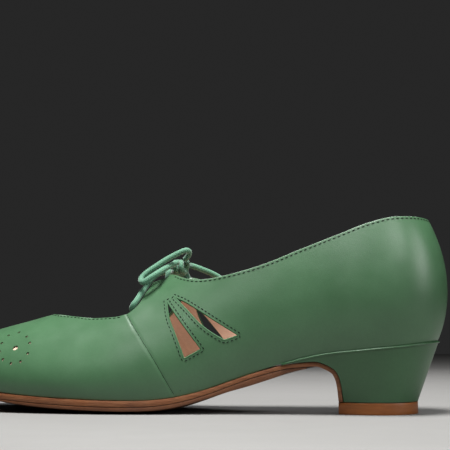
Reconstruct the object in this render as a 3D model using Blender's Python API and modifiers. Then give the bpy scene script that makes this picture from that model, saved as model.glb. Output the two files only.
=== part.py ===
"""Left dance shoe: low covered heel, round toe, U throat, lace tie and wedge cut-outs.

Sizes are millimetres. Along is measured from the heel's back towards the toe, across is positive on the
outer (lateral) side, height is from the floor. The toe points to -X and the lateral side faces -Y.
"""
import math
from collections import namedtuple

import bmesh
import bpy
from mathutils import Matrix, Vector

MM = 0.001
LENGTH = 253.0          # heel back to toe tip
BALL_WIDTH = 77.0       # across the feather line at the ball
HEEL_HEIGHT = 32.5      # feather line at the heel's back
INSTEP_HEIGHT = 69.0    # ridge under the tie
DRAWN_LENGTH = 253.0
DRAWN_BALL_WIDTH = 77.0
DRAWN_HEEL_HEIGHT = 32.5
DRAWN_INSTEP_HEIGHT = 69.0

WALL = 1.8              # leather and lining together
SEAM_GAP = 0.3          # clearance between pieces that touch
WALL_ROWS = 11
TAB_GAP = 22.0          # between the two tab ends, over the instep
TAB_BASE = 100.0        # the tabs spring from the collar in front of this
MEDIAL_SETBACK = 6.0    # the medial throat corner and tab front lie this much nearer the heel
MEDIAL_WEDGE_SETBACK = 3.0
SOLE_MARGIN = 1.0       # sole edge beyond the feather line
SOLE_COLUMNS = 8
INSOLE_INSET = 3.0
INSOLE_THICKNESS = 2.0
FOREPART_CROWN = 3.4    # the tread's middle hangs this far below its edges
TOP_PIECE_HEIGHT = 5.2
LACE_DIAMETER = 2.7
EYELET_DIAMETER = 3.4
KNOT_CENTRE = (125.2, 0.0, 67.9)
KNOT_RADIUS = 2.4
KNOT_TURNS = 2.1
KNOT_PITCH = 2.9

# One row for each section of the last, from the heel's back along the lateral side to the toe tip and home
# along the medial side. x, y, z: feather line. aim: the centre-line point that the section's plane faces.
# out1, z1 and in2, z2: the two handles of the wall's curve. reach, z3: where the curve ends on the way to
# the centre line. cuts: mesh columns up to the next row.
Section = namedtuple("Section", "x y z aim out1 z1 in2 z2 reach z3 cuts")
SECTIONS = [Section(*row) for row in (
    (4.6, 0.0, 32.5, 36, 7.5, 49, -8.2, 74, 0.32, 100, 3),
    (9.0, 13.5, 31.9, 36, 7.0, 49, -7.5, 74, 0.32, 100, 3),
    (20.0, 22.5, 30.5, 36, 6.5, 48, -6.6, 73, 0.32, 100, 3),
    (37.0, 25.8, 28.8, 40, 6.2, 47, -5.0, 72, 0.32, 100, 3),
    (56.0, 25.2, 26.6, 56, 6.0, 45, -4.0, 70, 0.32, 99, 3),
    (75.0, 24.8, 21.9, 75, 6.0, 40, -3.0, 65, 0.38, 96, 3),
    (95.0, 26.5, 15.3, 95, 6.0, 34, -2.0, 60, 0.50, 90, 4),
    (113.0, 30.0, 9.3, 112, 5.5, 29, 1.0, 58, 0.75, 80, 8),
    (130.0, 34.0, 6.55, 129, 5.0, 25, 5.0, 57, 1.00, 69, 9),
    (148.0, 37.2, 6.3, 143, 5.5, 24, 10.0, 51, 1.00, 63, 4),
    (167.0, 38.0, 6.9, 152, 6.0, 24, 15.0, 46.4, 1.00, 58, 3),
    (186.0, 36.6, 7.9, 155, 6.5, 25, 18.0, 42.7, 1.00, 56, 3),
    (204.0, 33.4, 9.4, 155, 7.0, 27, 22.0, 40.5, 1.00, 56, 3),
    (221.0, 28.2, 11.1, 155, 7.5, 30, 27.0, 39, 1.00, 56, 3),
    (236.5, 20.0, 12.6, 155, 8.0, 33, 33.0, 37.5, 1.00, 56, 3),
    (248.0, 8.8, 13.7, 155, 8.5, 35, 38.0, 36, 1.00, 56, 3),
    (251.5, -4.0, 14.1, 155, 9.0, 36, 40.0, 35, 1.00, 56, 3),
    (248.8, -16.0, 13.8, 155, 8.5, 35, 38.0, 36, 1.00, 56, 3),
    (238.5, -26.4, 12.7, 155, 8.0, 33, 33.0, 38, 1.00, 56, 3),
    (222.0, -33.6, 11.2, 155, 7.0, 30, 27.0, 39.5, 1.00, 56, 3),
    (205.0, -37.4, 9.5, 155, 6.0, 27, 21.0, 41.5, 1.00, 56, 3),
    (187.0, -38.8, 8.0, 155, 5.5, 26, 16.0, 44.2, 1.00, 56, 3),
    (168.0, -37.6, 7.3, 152, 5.0, 26, 12.0, 48.9, 1.00, 58, 4),
    (149.0, -33.5, 7.9, 143, 5.0, 27, 7.0, 54, 1.00, 63, 9),
    (131.0, -28.0, 10.0, 129, 5.5, 29, 2.0, 60, 1.00, 69, 8),
    (113.0, -23.5, 13.2, 112, 6.5, 33, -1.0, 60, 0.80, 80, 4),
    (95.0, -21.0, 17.7, 95, 7.5, 37, -4.0, 62, 0.50, 90, 3),
    (76.0, -21.0, 22.8, 75, 7.5, 41, -5.0, 66, 0.38, 96, 3),
    (57.0, -23.2, 26.6, 56, 7.0, 45, -5.0, 70, 0.32, 99, 3),
    (38.0, -25.0, 28.8, 40, 6.5, 47, -5.5, 72, 0.32, 100, 3),
    (21.0, -22.3, 30.5, 36, 6.5, 48, -6.6, 73, 0.32, 100, 3),
    (9.0, -13.5, 31.9, 36, 7.0, 49, -7.5, 74, 0.32, 100, 3),
)]
TOE_ROW = 16

# Height of the topline seen from the side; the tabs rise past it to their ends.
TOPLINE = (
    (0.0, 87.0), (12.0, 88.0), (22.0, 87.5), (33.0, 84.9), (46.7, 79.7), (64.8, 72.9), (82.8, 66.1),
    (99.0, 61.9), (107.0, 60.6), (112.0, 60.3), (117.0, 60.8), (121.0, 61.8), (125.5, 63.4), (129.0, 63.8),
    (132.4, 62.5), (135.8, 60.0), (137.8, 55.2), (140.2, 49.0), (144.6, 44.9), (151.0, 43.5), (163.0, 43.1),
    (172.0, 43.9), (180.0, 44.6), (186.0, 45.3), (192.0, 46.6), (204.0, 50.0),
)

# Wedge cut-outs seen from the side, both with their points at the tie.
FRONT_WEDGE = ((126.2, 50.7), (124.0, 43.0), (120.7, 36.0), (117.9, 29.5), (116.2, 25.0), (115.6, 24.7),
               (108.6, 28.6), (108.8, 29.6), (113.2, 35.2), (119.0, 42.4))
REAR_WEDGE = ((122.6, 52.7), (117.0, 50.4), (110.4, 46.6), (101.6, 41.2), (92.2, 35.4), (92.4, 34.7),
              (98.2, 32.8), (103.6, 35.8), (109.8, 40.4), (116.0, 46.6))

# Sole from the waist down the breast: top of the leather, half width and the share of the way round the bend.
Tail = namedtuple("Tail", "x z half turn")
SOLE_TAIL = [Tail(*row) for row in (
    (73.0, 21.7, 23.0, -0.08),
    (67.6, 22.4, 22.6, -0.06),
    (62.4, 22.9, 22.2, 0.0),
    (57.6, 23.0, 21.6, 0.09),
    (54.6, 22.1, 21.0, 0.24),
    (51.8, 20.7, 20.3, 0.36),
    (49.8, 19.2, 19.7, 0.54),
    (48.6, 17.1, 19.0, 0.73),
    (47.9, 15.0, 18.5, 0.84),
    (47.35, 11.8, 17.8, 0.92),
    (47.1, 8.9, 17.3, 0.95),
    (46.8, 5.6, 16.8, 0.96),
)]
FOREPART_STATIONS = (15.86, 15.5, 15.0, 14.5, 14.0, 13.4, 12.7, 12.0, 11.3, 10.6, 10.0, 9.4, 8.7, 8.0, 7.3,
                     6.6, 6.0, 5.5)
SOLE_THICKNESS = ((0.0, 1.8), (80.0, 1.8), (110.0, 2.2), (140.0, 2.6), (210.0, 2.5), (255.0, 2.3))
TREAD_THICKNESS = ((60.0, 0.4), (66.0, 1.0), (72.0, 1.8), (78.0, 2.6), (86.0, 2.9), (96.0, 2.2), (105.0, 1.6),
                   (150.0, 1.5), (180.0, 1.3), (195.0, 0.9), (210.0, 0.6), (255.0, 0.5))

# Half width of the top piece along its length, front to back.
TOP_PIECE_OUTLINE = ((48.8, 16.6), (44.0, 18.0), (37.0, 19.0), (30.0, 18.9), (24.0, 16.6), (19.0, 12.4),
                     (15.6, 7.0), (14.1, 2.4))

# Punched eyelets of the inner tab: place and the way that the leather faces.
EYELETS = (
    ((131.5, -20.4, 53.2), (0.1, -0.78, 0.62)),
    ((126.0, -17.5, 58.6), (0.0, -0.76, 0.65)),
)

# Lace routes. The two bars cross between the tabs. On the inner side each goes into an eyelet, on the outer side one
# goes under the tab and comes back round its front edge as the other.
LATERAL_BAR = ((129.5, 8.4, 59.9), (131.3, 10.8, 57.3), (134.3, 13.6, 54.0), (137.4, 17.0, 50.1),
               (139.8, 19.3, 46.9), (142.0, 20.4, 45.7), (143.2, 21.9, 47.1), (142.4, 22.9, 48.9),
               (141.5, 22.4, 50.3), (140.8, 21.2, 51.8), (140.0, 19.2, 54.0), (139.1, 16.3, 56.7),
               (138.2, 13.5, 59.2), (136.9, 10.6, 61.8), (134.4, 6.6, 64.6), (131.4, 1.0, 65.5),
               (129.6, -5.0, 65.6), (128.0, -10.8, 65.3), (126.8, -15.5, 63.3), (126.0, -18.9, 60.0))
MEDIAL_BAR = ((131.7, -22.0, 54.4), (131.9, -20.0, 57.4), (132.0, -17.3, 60.3), (131.8, -14.2, 62.9),
              (131.2, -8.0, 65.2), (130.4, -2.0, 65.6), (130.1, 3.4, 65.6), (129.9, 6.0, 64.9), (129.8, 7.6, 62.6),
              (129.6, 9.0, 58.6))
LATERAL_LOOP = ((122.5, 3.4, 71.3), (120.4, 4.9, 73.3), (119.8, 6.6, 74.8), (121.5, 8.6, 75.2),
                (127.6, 10.6, 72.1), (131.3, 12.4, 69.6), (134.7, 14.3, 67.0), (137.8, 16.0, 64.5),
                (139.8, 17.6, 62.1), (139.7, 19.4, 60.3), (138.0, 20.6, 59.8), (135.5, 19.8, 61.6),
                (132.4, 17.6, 64.0), (129.5, 12.0, 66.9), (125.8, 4.6, 70.1))
MEDIAL_LOOP = ((120.3, -1.7, 68.8), (115.3, -4.2, 66.9), (111.7, -6.4, 65.4), (108.4, -8.4, 63.5),
               (105.9, -10.4, 61.3), (105.4, -13.0, 60.2), (106.9, -15.4, 61.6), (109.7, -15.0, 63.8),
               (113.0, -12.9, 65.8), (116.7, -10.7, 67.4), (120.0, -8.4, 68.7), (122.3, -6.6, 69.3))
FRONT_END = ((126.8, -4.0, 70.6), (129.2, -8.6, 70.9), (131.5, -13.5, 68.4), (133.4, -18.5, 63.6),
             (135.0, -22.5, 57.6), (136.2, -24.9, 51.5))
REAR_END = ((124.2, -5.0, 66.8), (125.6, -10.4, 68.6), (126.6, -15.0, 67.6), (126.6, -18.6, 65.2),
            (126.0, -21.9, 62.3), (125.7, -23.7, 57.4), (125.2, -25.5, 51.4), (124.8, -27.2, 45.4))


def eased(rows, at):
    """Smooth curve through (place, value) rows that never swings past a row."""
    if at <= rows[0][0]:
        return rows[0][1]
    if at >= rows[-1][0]:
        return rows[-1][1]
    spans = [b[0] - a[0] for a, b in zip(rows, rows[1:])]
    steeps = [(b[1] - a[1]) / span for a, b, span in zip(rows, rows[1:], spans)]
    index = max(i for i in range(len(spans)) if rows[i][0] <= at)

    def tangent(i):
        if i == 0:
            return steeps[0]
        if i == len(steeps):
            return steeps[-1]
        before, after = steeps[i - 1], steeps[i]
        if before * after <= 0:
            return 0.0
        return 2 * before * after / (before + after)

    span = spans[index]
    t = (at - rows[index][0]) / span
    low, high = rows[index][1], rows[index + 1][1]
    return (low * (1 + 2 * t) * (1 - t) ** 2 + span * tangent(index) * t * (1 - t) ** 2
            + high * t * t * (3 - 2 * t) - span * tangent(index + 1) * t * t * (1 - t))


def section_at(station):
    """Section between the table's rows; the rows close into a ring."""
    index = math.floor(station)
    t = station - index
    rows = [SECTIONS[(index + k) % len(SECTIONS)] for k in (-1, 0, 1, 2)]
    values = []
    for a, b, c, d in zip(*rows):
        values.append(0.5 * (2 * b + (c - a) * t + (2 * a - 5 * b + 4 * c - d) * t * t
                             + (3 * b - a - 3 * c + d) * t ** 3))
    return Section(*values)


def sized(x, y, z, foot):
    """Drawn sizes brought to the driving dimensions; foot is the share of the height below the feather."""
    rise = HEEL_HEIGHT / DRAWN_HEEL_HEIGHT * foot + INSTEP_HEIGHT / DRAWN_INSTEP_HEIGHT * (1 - foot)
    return (x * LENGTH / DRAWN_LENGTH, y * BALL_WIDTH / DRAWN_BALL_WIDTH, z * rise)


def wall_point(station, t):
    """Outer face of the upper: t is 0 on the feather line and 1 at the end of the section's curve."""
    row = section_at(station)
    width = math.hypot(row.aim - row.x, row.y)
    weights = ((1 - t) ** 3, 3 * t * (1 - t) ** 2, 3 * t * t * (1 - t), t ** 3)
    inward = sum(w * v for w, v in zip(weights, (0.0, -row.out1, row.in2, row.reach * width)))
    height = sum(w * v for w, v in zip(weights, (row.z, row.z1, row.z2, row.z3)))
    x = row.x + (row.aim - row.x) / width * inward
    y = row.y - row.y / width * inward
    return sized(x, y, height, 1 - t)


def is_past_topline(point):
    x, y, z = point
    if y < 0 and x < SECTIONS[TOE_ROW].aim:
        x += MEDIAL_SETBACK * eased(((108.0, 0.0), (128.0, 1.0), (140.0, 1.0), (155.0, 0.0)), x)
    return z >= eased(TOPLINE, x) or (TAB_BASE < x < SECTIONS[TOE_ROW].aim and abs(y) <= TAB_GAP / 2)


def topline_share(station):
    """Where a section's curve meets the topline or a tab's end."""
    t = 0.2
    while t < 1.0 and not is_past_topline(wall_point(station, t)):
        t += 0.01
    low, high = t - 0.01, min(t, 1.0)
    for _ in range(20):
        middle = (low + high) / 2
        if is_past_topline(wall_point(station, middle)):
            high = middle
        else:
            low = middle
    return low


def placed(point):
    """Shoe sizes to the part's frame, in metres."""
    x, y, z = point
    return ((LENGTH / 2 - x) * MM, -y * MM, z * MM)


def feather(station, outward):
    """Feather point moved outward in plan."""
    row = section_at(station)
    width = math.hypot(row.aim - row.x, row.y)
    x = row.x - (row.aim - row.x) / width * outward
    y = row.y + row.y / width * outward
    return sized(x, y, row.z, 1.0)


def new_object(name, mesh, collection):
    made = bpy.data.objects.new(name, mesh)
    collection.objects.link(made)
    return made


def mesh_from(shape, name):
    mesh = bpy.data.meshes.new(name)
    shape.to_mesh(mesh)
    shape.free()
    return mesh


def shade(made, red, green, blue, roughness):
    """Plain material from screen colour values."""
    material = bpy.data.materials.new(made.name)
    material.use_nodes = True
    surface = material.node_tree.nodes["Principled BSDF"]
    linear = [(value / 255) ** 2.2 for value in (red, green, blue)]
    surface.inputs["Base Color"].default_value = (*linear, 1.0)
    surface.inputs["Roughness"].default_value = roughness
    surface.inputs["Metallic"].default_value = 0.0
    made.data.materials.append(material)


def prism(name, outline, low, high, collection):
    """Side-view outline pulled across the shoe, as a cutter."""
    shape = bmesh.new()
    ring = [shape.verts.new(placed((x, low, z))) for x, z in outline]
    face = shape.faces.new(ring)
    pulled = bmesh.ops.extrude_face_region(shape, geom=[face])
    far = [item for item in pulled["geom"] if isinstance(item, bmesh.types.BMVert)]
    bmesh.ops.translate(shape, verts=far, vec=(0, -(high - low) * MM, 0))
    bmesh.ops.recalc_face_normals(shape, faces=shape.faces)
    cutter = new_object(name, mesh_from(shape, name), collection)
    cutter.hide_render = True
    cutter.display_type = "WIRE"
    return cutter


def punch(name, place, faces, collection):
    """Round punch through the tab's leather."""
    along, side, up = faces
    turn = Vector((-along, -side, up)).to_track_quat("Z", "Y").to_matrix().to_4x4()
    shape = bmesh.new()
    bmesh.ops.create_cone(shape, cap_ends=True, segments=12, radius1=EYELET_DIAMETER / 2 * MM,
                          radius2=EYELET_DIAMETER / 2 * MM, depth=8 * MM,
                          matrix=Matrix.Translation(placed(place)) @ turn)
    cutter = new_object(name, mesh_from(shape, name), collection)
    cutter.hide_render = True
    cutter.display_type = "WIRE"
    return cutter


def cut(target, cutter):
    step = target.modifiers.new(cutter.name, "BOOLEAN")
    step.operation = "DIFFERENCE"
    step.solver = "EXACT"
    step.object = cutter


def slab(name, rows, columns, lower, upper, collection):
    """Closed sheet of leather: a grid pulled up into two faces, each laid by its own function."""
    shape = bmesh.new()
    bmesh.ops.create_grid(shape, x_segments=rows - 1, y_segments=columns, size=0.5)
    base = list(shape.verts)
    order = {vert: (round((vert.co.x + 0.5) * (rows - 1)), vert.co.y * 2) for vert in base}
    pulled = bmesh.ops.extrude_face_region(shape, geom=list(shape.faces))
    for item in pulled["geom"]:
        if isinstance(item, bmesh.types.BMVert):
            row = round((item.co.x + 0.5) * (rows - 1))
            item.co = placed(upper(row, item.co.y * 2))
    for vert, (row, side) in order.items():
        vert.co = placed(lower(row, side))
    bmesh.ops.recalc_face_normals(shape, faces=shape.faces)
    return new_object(name, mesh_from(shape, name), collection)


def across(lateral, medial, side):
    """Point between the two edges; side is 1 on the lateral edge and -1 on the medial edge."""
    share = (1 - side) / 2
    return [a + (b - a) * share for a, b in zip(lateral, medial)]


def make_upper(parts, cutters):
    stations = []
    for index, row in enumerate(SECTIONS):
        stations += [index + k / row.cuts for k in range(row.cuts)]
    tops = [topline_share(station) for station in stations]
    count = len(stations)
    shape = bmesh.new()
    bmesh.ops.create_grid(shape, x_segments=count, y_segments=WALL_ROWS, size=0.5)
    for vert in shape.verts:
        column = round((vert.co.x + 0.5) * count) % count
        share = vert.co.y + 0.5
        vert.co = placed(wall_point(stations[column], share * tops[column]))
    bmesh.ops.remove_doubles(shape, verts=shape.verts, dist=1e-6)
    bmesh.ops.reverse_faces(shape, faces=shape.faces)
    upper = new_object("upper", mesh_from(shape, "upper"), parts)
    wall = upper.modifiers.new("wall", "SOLIDIFY")
    wall.thickness = WALL * MM
    wall.offset = -1.0
    for side, low, high, setback in (("lateral", 8.0, 60.0, 0.0), ("medial", -60.0, -8.0, MEDIAL_WEDGE_SETBACK)):
        for name, wedge in (("front_wedge_", FRONT_WEDGE), ("rear_wedge_", REAR_WEDGE)):
            outline = [(x - setback, z) for x, z in wedge]
            cut(upper, prism(name + side, outline, low, high, cutters))
    for number, (place, faces) in enumerate(EYELETS):
        cut(upper, punch(f"eyelet_{number}", place, faces, cutters))
    shade(upper, 86, 135, 100, 0.42)


def sole_rows():
    """Edge points and the downward direction for each row of the sole, toe to breast flap."""
    rows = []
    for station in FOREPART_STATIONS:
        lateral = list(feather(station, SOLE_MARGIN))
        medial = list(feather(2 * TOE_ROW - station, SOLE_MARGIN))
        lateral[2] -= SEAM_GAP
        medial[2] -= SEAM_GAP
        rows.append((lateral, medial, 0.0))
    for tail in SOLE_TAIL:
        lateral = sized(tail.x, tail.half + 1.5, tail.z, 1.0)
        medial = sized(tail.x, -tail.half, tail.z, 1.0)
        rows.append((lateral, medial, tail.turn * math.pi / 2))
    return rows


def lowered(point, turn, depth):
    """Point moved square off the sole's top by a depth."""
    x, y, z = point
    return [x + math.sin(turn) * depth, y, z - math.cos(turn) * depth]


def make_sole(parts):
    rows = sole_rows()

    def top(row, side):
        lateral, medial, _ = rows[row]
        return across(lateral, medial, side)

    def bottom(row, side):
        lateral, medial, turn = rows[row]
        point = across(lateral, medial, side)
        return lowered(point, turn, eased(SOLE_THICKNESS, point[0]))

    sole = slab("sole", len(rows), SOLE_COLUMNS, bottom, top, parts)
    shade(sole, 158, 96, 52, 0.6)


def make_half_sole(parts):
    rows = [row for row in sole_rows() if row[2] <= 0.01]

    def top(row, side):
        lateral, medial, turn = rows[row]
        point = across(lateral, medial, side)
        return lowered(point, turn, eased(SOLE_THICKNESS, point[0]) + SEAM_GAP)

    def bottom(row, side):
        x, y, z = top(row, side)
        fade = min(1.0, max(0.0, (x - 90) / 40), max(0.0, (250 - x) / 50))
        crown = FOREPART_CROWN * (1 - side * side) * fade
        return (x, y, max(0.0, z - eased(TREAD_THICKNESS, x) - crown))

    half_sole = slab("half_sole", len(rows), SOLE_COLUMNS, bottom, top, parts)
    shade(half_sole, 98, 58, 32, 0.55)


def make_insole(parts):
    stations = [15.8, 15.3, 14.7] + [14.0 - 0.75 * k for k in range(18)] + [0.75, 0.4, 0.2]

    def sheet(lift):
        def point(row, side):
            station = stations[row]
            lateral = feather(station, -INSOLE_INSET)
            medial = feather(2 * TOE_ROW - station, -INSOLE_INSET)
            x, y, z = across(lateral, medial, side)
            return (x, y, z + lift)
        return point

    insole = slab("insole", len(stations), 6, sheet(0.05), sheet(0.05 + INSOLE_THICKNESS), parts)
    shade(insole, 184, 140, 118, 0.7)


def make_heel(parts, cutters):
    stations = (5.0, 4.5, 4.0, 3.5, 3.0, 2.5, 2.0, 1.5, 1.0, 0.6, 0.3, 0.1)
    front, back = TOP_PIECE_OUTLINE[0][0] + 14.0, TOP_PIECE_OUTLINE[-1][0]
    outline = [(x, half) for x, half in reversed(TOP_PIECE_OUTLINE)]
    seat_front = section_at(stations[0]).x
    seat_back = section_at(stations[-1]).x

    def seat(row, side):
        lateral = feather(stations[row], 0.4)
        medial = feather(2 * TOE_ROW - stations[row], 0.4)
        x, y, z = across(lateral, medial, side)
        return (x, y, z - SEAM_GAP)

    def foot(row, side):
        share = (section_at(stations[row]).x - seat_back) / (seat_front - seat_back)
        x = back + (front - back) * share ** 0.92
        return (x, side * eased(outline, x), TOP_PIECE_HEIGHT + SEAM_GAP)

    heel = slab("heel", len(stations), 8, foot, seat, parts)
    breast = []
    for tail in SOLE_TAIL:
        turn = tail.turn * math.pi / 2
        breast.append((tail.x - math.sin(turn) * SEAM_GAP, tail.z + math.cos(turn) * SEAM_GAP))
    outline = [(90.0, breast[0][1])] + breast + [(breast[-1][0] - 0.1, -4.0), (90.0, -4.0)]
    cut(heel, prism("breast", outline, -60.0, 60.0, cutters))
    shade(heel, 70, 112, 80, 0.4)


def make_top_piece(parts):
    def sheet(height):
        def point(row, side):
            x, half = TOP_PIECE_OUTLINE[row]
            return (x, side * half, height)
        return point

    top_piece = slab("top_piece", len(TOP_PIECE_OUTLINE), 6, sheet(0.0), sheet(TOP_PIECE_HEIGHT), parts)
    shade(top_piece, 128, 74, 40, 0.5)


def smooth_route(route, steps):
    """Points of a smooth curve through the route."""
    ends = [route[0]] + list(route) + [route[-1]]
    points = []
    for a, b, c, d in zip(ends, ends[1:], ends[2:], ends[3:]):
        for k in range(steps):
            t = k / steps
            points.append([0.5 * (2 * q + (r - p) * t + (2 * p - 5 * q + 4 * r - s) * t * t
                                  + (3 * q - p - 3 * r + s) * t ** 3) for p, q, r, s in zip(a, b, c, d)])
    return points + [list(route[-1])]


def cord(name, points, collection):
    """Round cord along the points."""
    curve = bpy.data.curves.new(name, "CURVE")
    curve.dimensions = "3D"
    curve.bevel_depth = LACE_DIAMETER / 2 * MM
    curve.bevel_resolution = 2
    curve.use_fill_caps = True
    spline = curve.splines.new("POLY")
    spline.points.add(len(points) - 1)
    for knot, point in zip(spline.points, points):
        knot.co = (*placed(point), 1.0)
    return new_object(name, curve, collection)


def solid_cord(name, points, collection):
    """The same cord as a welded mesh, for joining."""
    drawn = cord(name + "_line", points, collection)
    mesh = bpy.data.meshes.new_from_object(drawn)
    bpy.data.objects.remove(drawn)
    shape = bmesh.new()
    shape.from_mesh(mesh)
    bmesh.ops.remove_doubles(shape, verts=shape.verts, dist=1e-6)
    bmesh.ops.recalc_face_normals(shape, faces=shape.faces)
    return new_object(name, mesh_from(shape, name), collection)


def make_lace(parts, cutters):
    bars = solid_cord("lace_bars", smooth_route(LATERAL_BAR, 2), parts)
    crossing = solid_cord("crossing_bar", smooth_route(MEDIAL_BAR, 2), cutters)
    crossing.hide_render = True
    crossing.display_type = "WIRE"
    joined = bars.modifiers.new("crossing", "BOOLEAN")
    joined.operation = "UNION"
    joined.solver = "EXACT"
    joined.object = crossing
    shade(bars, 84, 156, 112, 0.8)
    coil = []
    steps = 30
    for k in range(steps + 1):
        turn = 2 * math.pi * KNOT_TURNS * k / steps + 1.2
        coil.append((KNOT_CENTRE[0] + KNOT_PITCH * KNOT_TURNS * (k / steps - 0.5),
                     KNOT_CENTRE[1] + KNOT_RADIUS * math.cos(turn),
                     KNOT_CENTRE[2] + KNOT_RADIUS * math.sin(turn)))
    shade(cord("lace_knot", coil, parts), 84, 156, 112, 0.8)
    for name, route in (("lace_loop_lateral", LATERAL_LOOP), ("lace_loop_medial", MEDIAL_LOOP),
                        ("lace_end_front", FRONT_END), ("lace_end_rear", REAR_END)):
        shade(cord(name, smooth_route(route, 2), parts), 84, 156, 112, 0.8)


def main():
    for old in list(bpy.data.objects):
        bpy.data.objects.remove(old)
    parts = bpy.data.collections.new("dance_shoe")
    cutters = bpy.data.collections.new("cutters")
    bpy.context.scene.collection.children.link(parts)
    bpy.context.scene.collection.children.link(cutters)
    make_upper(parts, cutters)
    make_insole(parts)
    make_sole(parts)
    make_half_sole(parts)
    make_heel(parts, cutters)
    make_top_piece(parts)
    make_lace(parts, cutters)


main()
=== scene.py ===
import math

import bmesh
import bpy
from mathutils import Matrix, Vector, noise
from mathutils.bvhtree import BVHTree


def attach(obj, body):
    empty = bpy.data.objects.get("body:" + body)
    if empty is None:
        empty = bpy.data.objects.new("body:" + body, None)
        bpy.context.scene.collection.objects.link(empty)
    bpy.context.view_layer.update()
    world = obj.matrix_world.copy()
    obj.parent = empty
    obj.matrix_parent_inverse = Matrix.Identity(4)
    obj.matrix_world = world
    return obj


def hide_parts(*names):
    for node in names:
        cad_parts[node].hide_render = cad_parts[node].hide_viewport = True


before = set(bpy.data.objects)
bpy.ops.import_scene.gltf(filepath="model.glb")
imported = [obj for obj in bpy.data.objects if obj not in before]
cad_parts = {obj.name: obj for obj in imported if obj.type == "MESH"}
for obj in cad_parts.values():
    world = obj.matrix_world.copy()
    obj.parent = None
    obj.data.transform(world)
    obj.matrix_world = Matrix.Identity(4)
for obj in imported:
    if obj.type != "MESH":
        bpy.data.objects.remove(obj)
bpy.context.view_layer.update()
scene = bpy.context.scene
mm = 0.001
print("frame loaded with", len(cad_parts), "nodes")

view = {"lens": 80.0, "spot": (0.11425, -0.46982, 0.0316), "tilt": 96.73, "turn": 11.0}
camera = bpy.data.objects.new("camera", bpy.data.cameras.new("camera"))
camera.data.lens = view["lens"]
camera.data.clip_start = 0.01
camera.location = view["spot"]
camera.rotation_euler = (math.radians(view["tilt"]), 0.0, math.radians(view["turn"]))
scene.collection.objects.link(camera)
scene.camera = camera
scene.view_settings.view_transform = "Standard"

# shoe sizes in millimetres: x from the heel's back, y to the outer side, z from the floor
last = {"length": 253.0, "wall": 1.8, "seamGap": 0.3, "tabGap": 22.0, "tabBase": 100.0, "toeRow": 16,
        "medialSetback": 6.0, "wedgeSetback": 3.0}

# a row for each section of the last, heel back to outer side to toe to inner side:
# feather x y z, aim on the centre line, two handles of the wall (out, z and in, z), reach, top z
lastRows = (
    (4.6, 0.0, 32.5, 36, 7.5, 49, -8.2, 74, 0.32, 100),
    (9.0, 13.5, 31.9, 36, 7.0, 49, -7.5, 74, 0.32, 100),
    (20.0, 22.5, 30.5, 36, 6.5, 48, -6.6, 73, 0.32, 100),
    (37.0, 25.8, 28.8, 40, 6.2, 47, -5.0, 72, 0.32, 100),
    (56.0, 25.2, 26.6, 56, 6.0, 45, -4.0, 70, 0.32, 99),
    (75.0, 24.8, 21.9, 75, 6.0, 40, -3.0, 65, 0.38, 96),
    (95.0, 26.5, 15.3, 95, 6.0, 34, -2.0, 60, 0.50, 90),
    (113.0, 30.0, 9.3, 112, 5.5, 29, 1.0, 58, 0.75, 80),
    (130.0, 34.0, 6.55, 129, 5.0, 25, 5.0, 57, 1.00, 69),
    (148.0, 37.2, 6.3, 143, 5.5, 24, 10.0, 51, 1.00, 63),
    (167.0, 38.0, 6.9, 152, 6.0, 24, 15.0, 46.4, 1.00, 58),
    (186.0, 36.6, 7.9, 155, 6.5, 25, 18.0, 42.7, 1.00, 56),
    (204.0, 33.4, 9.4, 155, 7.0, 27, 22.0, 40.5, 1.00, 56),
    (221.0, 28.2, 11.1, 155, 7.5, 30, 27.0, 39, 1.00, 56),
    (236.5, 20.0, 12.6, 155, 8.0, 33, 33.0, 37.5, 1.00, 56),
    (248.0, 8.8, 13.7, 155, 8.5, 35, 38.0, 36, 1.00, 56),
    (251.5, -4.0, 14.1, 155, 9.0, 36, 40.0, 35, 1.00, 56),
    (248.8, -16.0, 13.8, 155, 8.5, 35, 38.0, 36, 1.00, 56),
    (238.5, -26.4, 12.7, 155, 8.0, 33, 33.0, 38, 1.00, 56),
    (222.0, -33.6, 11.2, 155, 7.0, 30, 27.0, 39.5, 1.00, 56),
    (205.0, -37.4, 9.5, 155, 6.0, 27, 21.0, 41.5, 1.00, 56),
    (187.0, -38.8, 8.0, 155, 5.5, 26, 16.0, 44.2, 1.00, 56),
    (168.0, -37.6, 7.3, 152, 5.0, 26, 12.0, 48.9, 1.00, 58),
    (149.0, -33.5, 7.9, 143, 5.0, 27, 7.0, 54, 1.00, 63),
    (131.0, -28.0, 10.0, 129, 5.5, 29, 2.0, 60, 1.00, 69),
    (113.0, -23.5, 13.2, 112, 6.5, 33, -1.0, 60, 0.80, 80),
    (95.0, -21.0, 17.7, 95, 7.5, 37, -4.0, 62, 0.50, 90),
    (76.0, -21.0, 22.8, 75, 7.5, 41, -5.0, 66, 0.38, 96),
    (57.0, -23.2, 26.6, 56, 7.0, 45, -5.0, 70, 0.32, 99),
    (38.0, -25.0, 28.8, 40, 6.5, 47, -5.5, 72, 0.32, 100),
    (21.0, -22.3, 30.5, 36, 6.5, 48, -6.6, 73, 0.32, 100),
    (9.0, -13.5, 31.9, 36, 7.0, 49, -7.5, 74, 0.32, 100),
)

# topline seen from the side
topline = ((0.0, 87.0), (12.0, 88.0), (22.0, 87.5), (33.0, 84.9), (46.7, 79.7), (64.8, 72.9), (82.8, 66.1),
           (99.0, 61.9), (107.0, 60.6), (112.0, 60.3), (117.0, 60.8), (121.0, 61.8), (125.5, 63.4),
           (129.0, 63.8), (132.4, 62.5), (135.8, 60.0), (137.8, 55.2), (140.2, 49.0), (144.6, 44.9),
           (151.0, 43.5), (163.0, 43.1), (172.0, 43.9), (180.0, 44.6), (186.0, 45.3), (192.0, 46.6), (204.0, 50.0))

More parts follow.
